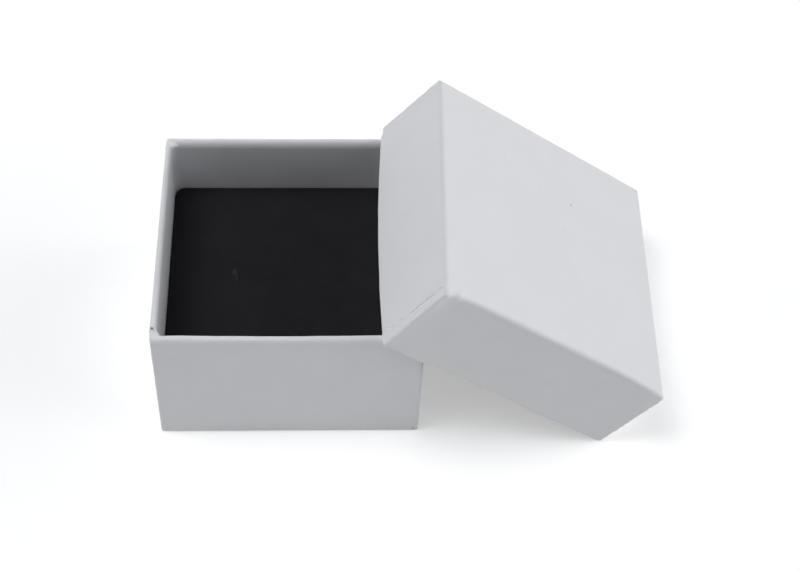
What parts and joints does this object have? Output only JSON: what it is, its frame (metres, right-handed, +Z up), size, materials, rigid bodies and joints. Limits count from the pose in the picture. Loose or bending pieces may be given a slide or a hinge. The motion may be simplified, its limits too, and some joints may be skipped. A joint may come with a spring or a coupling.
{
  "type": "ring display box",
  "caption": "Square paper-covered tray with a black foam ring pad, and a shallow telescoping lid that leans on the tray's rim.",
  "frame": {"origin": "middle of the tray's underside, on the surface it stands on", "axes": "+Z up, +X towards the side where the lid leans, +Y towards the tray's back wall"},
  "size_m": [0.0969, 0.0544, 0.0451],
  "materials": {
    "wrap_paper": "satin",
    "liner_paper": "matte",
    "greyboard": "matte",
    "stay_paper": "matte",
    "black_foam": "matte",
    "black_flock": "matte"
  },
  "bodies": {
    "base": {"base_board": "greyboard", "base_stay_front_left": "stay_paper", "base_stay_front_right": "stay_paper", "base_stay_back_left": "stay_paper", "base_stay_back_right": "stay_paper", "base_wrap": "wrap_paper", "base_liner": "liner_paper"},
    "insert": {"insert_foam": "black_foam", "insert_face": "black_flock"},
    "lid": {"lid_board": "greyboard", "lid_stay_front_left": "stay_paper", "lid_stay_front_right": "stay_paper", "lid_stay_back_left": "stay_paper", "lid_stay_back_right": "stay_paper", "lid_wrap": "wrap_paper", "lid_liner": "liner_paper"}
  },
  "joints": [
    {"name": "lid_lift", "type": "slide", "parent": "base", "child": "lid", "axis": [0, 0, 1], "range_m": [0, 0.06]},
    {"name": "insert_lift", "type": "slide", "parent": "base", "child": "insert", "axis": [0, 0, 1], "range_m": [0, 0.0125]}
  ]
}
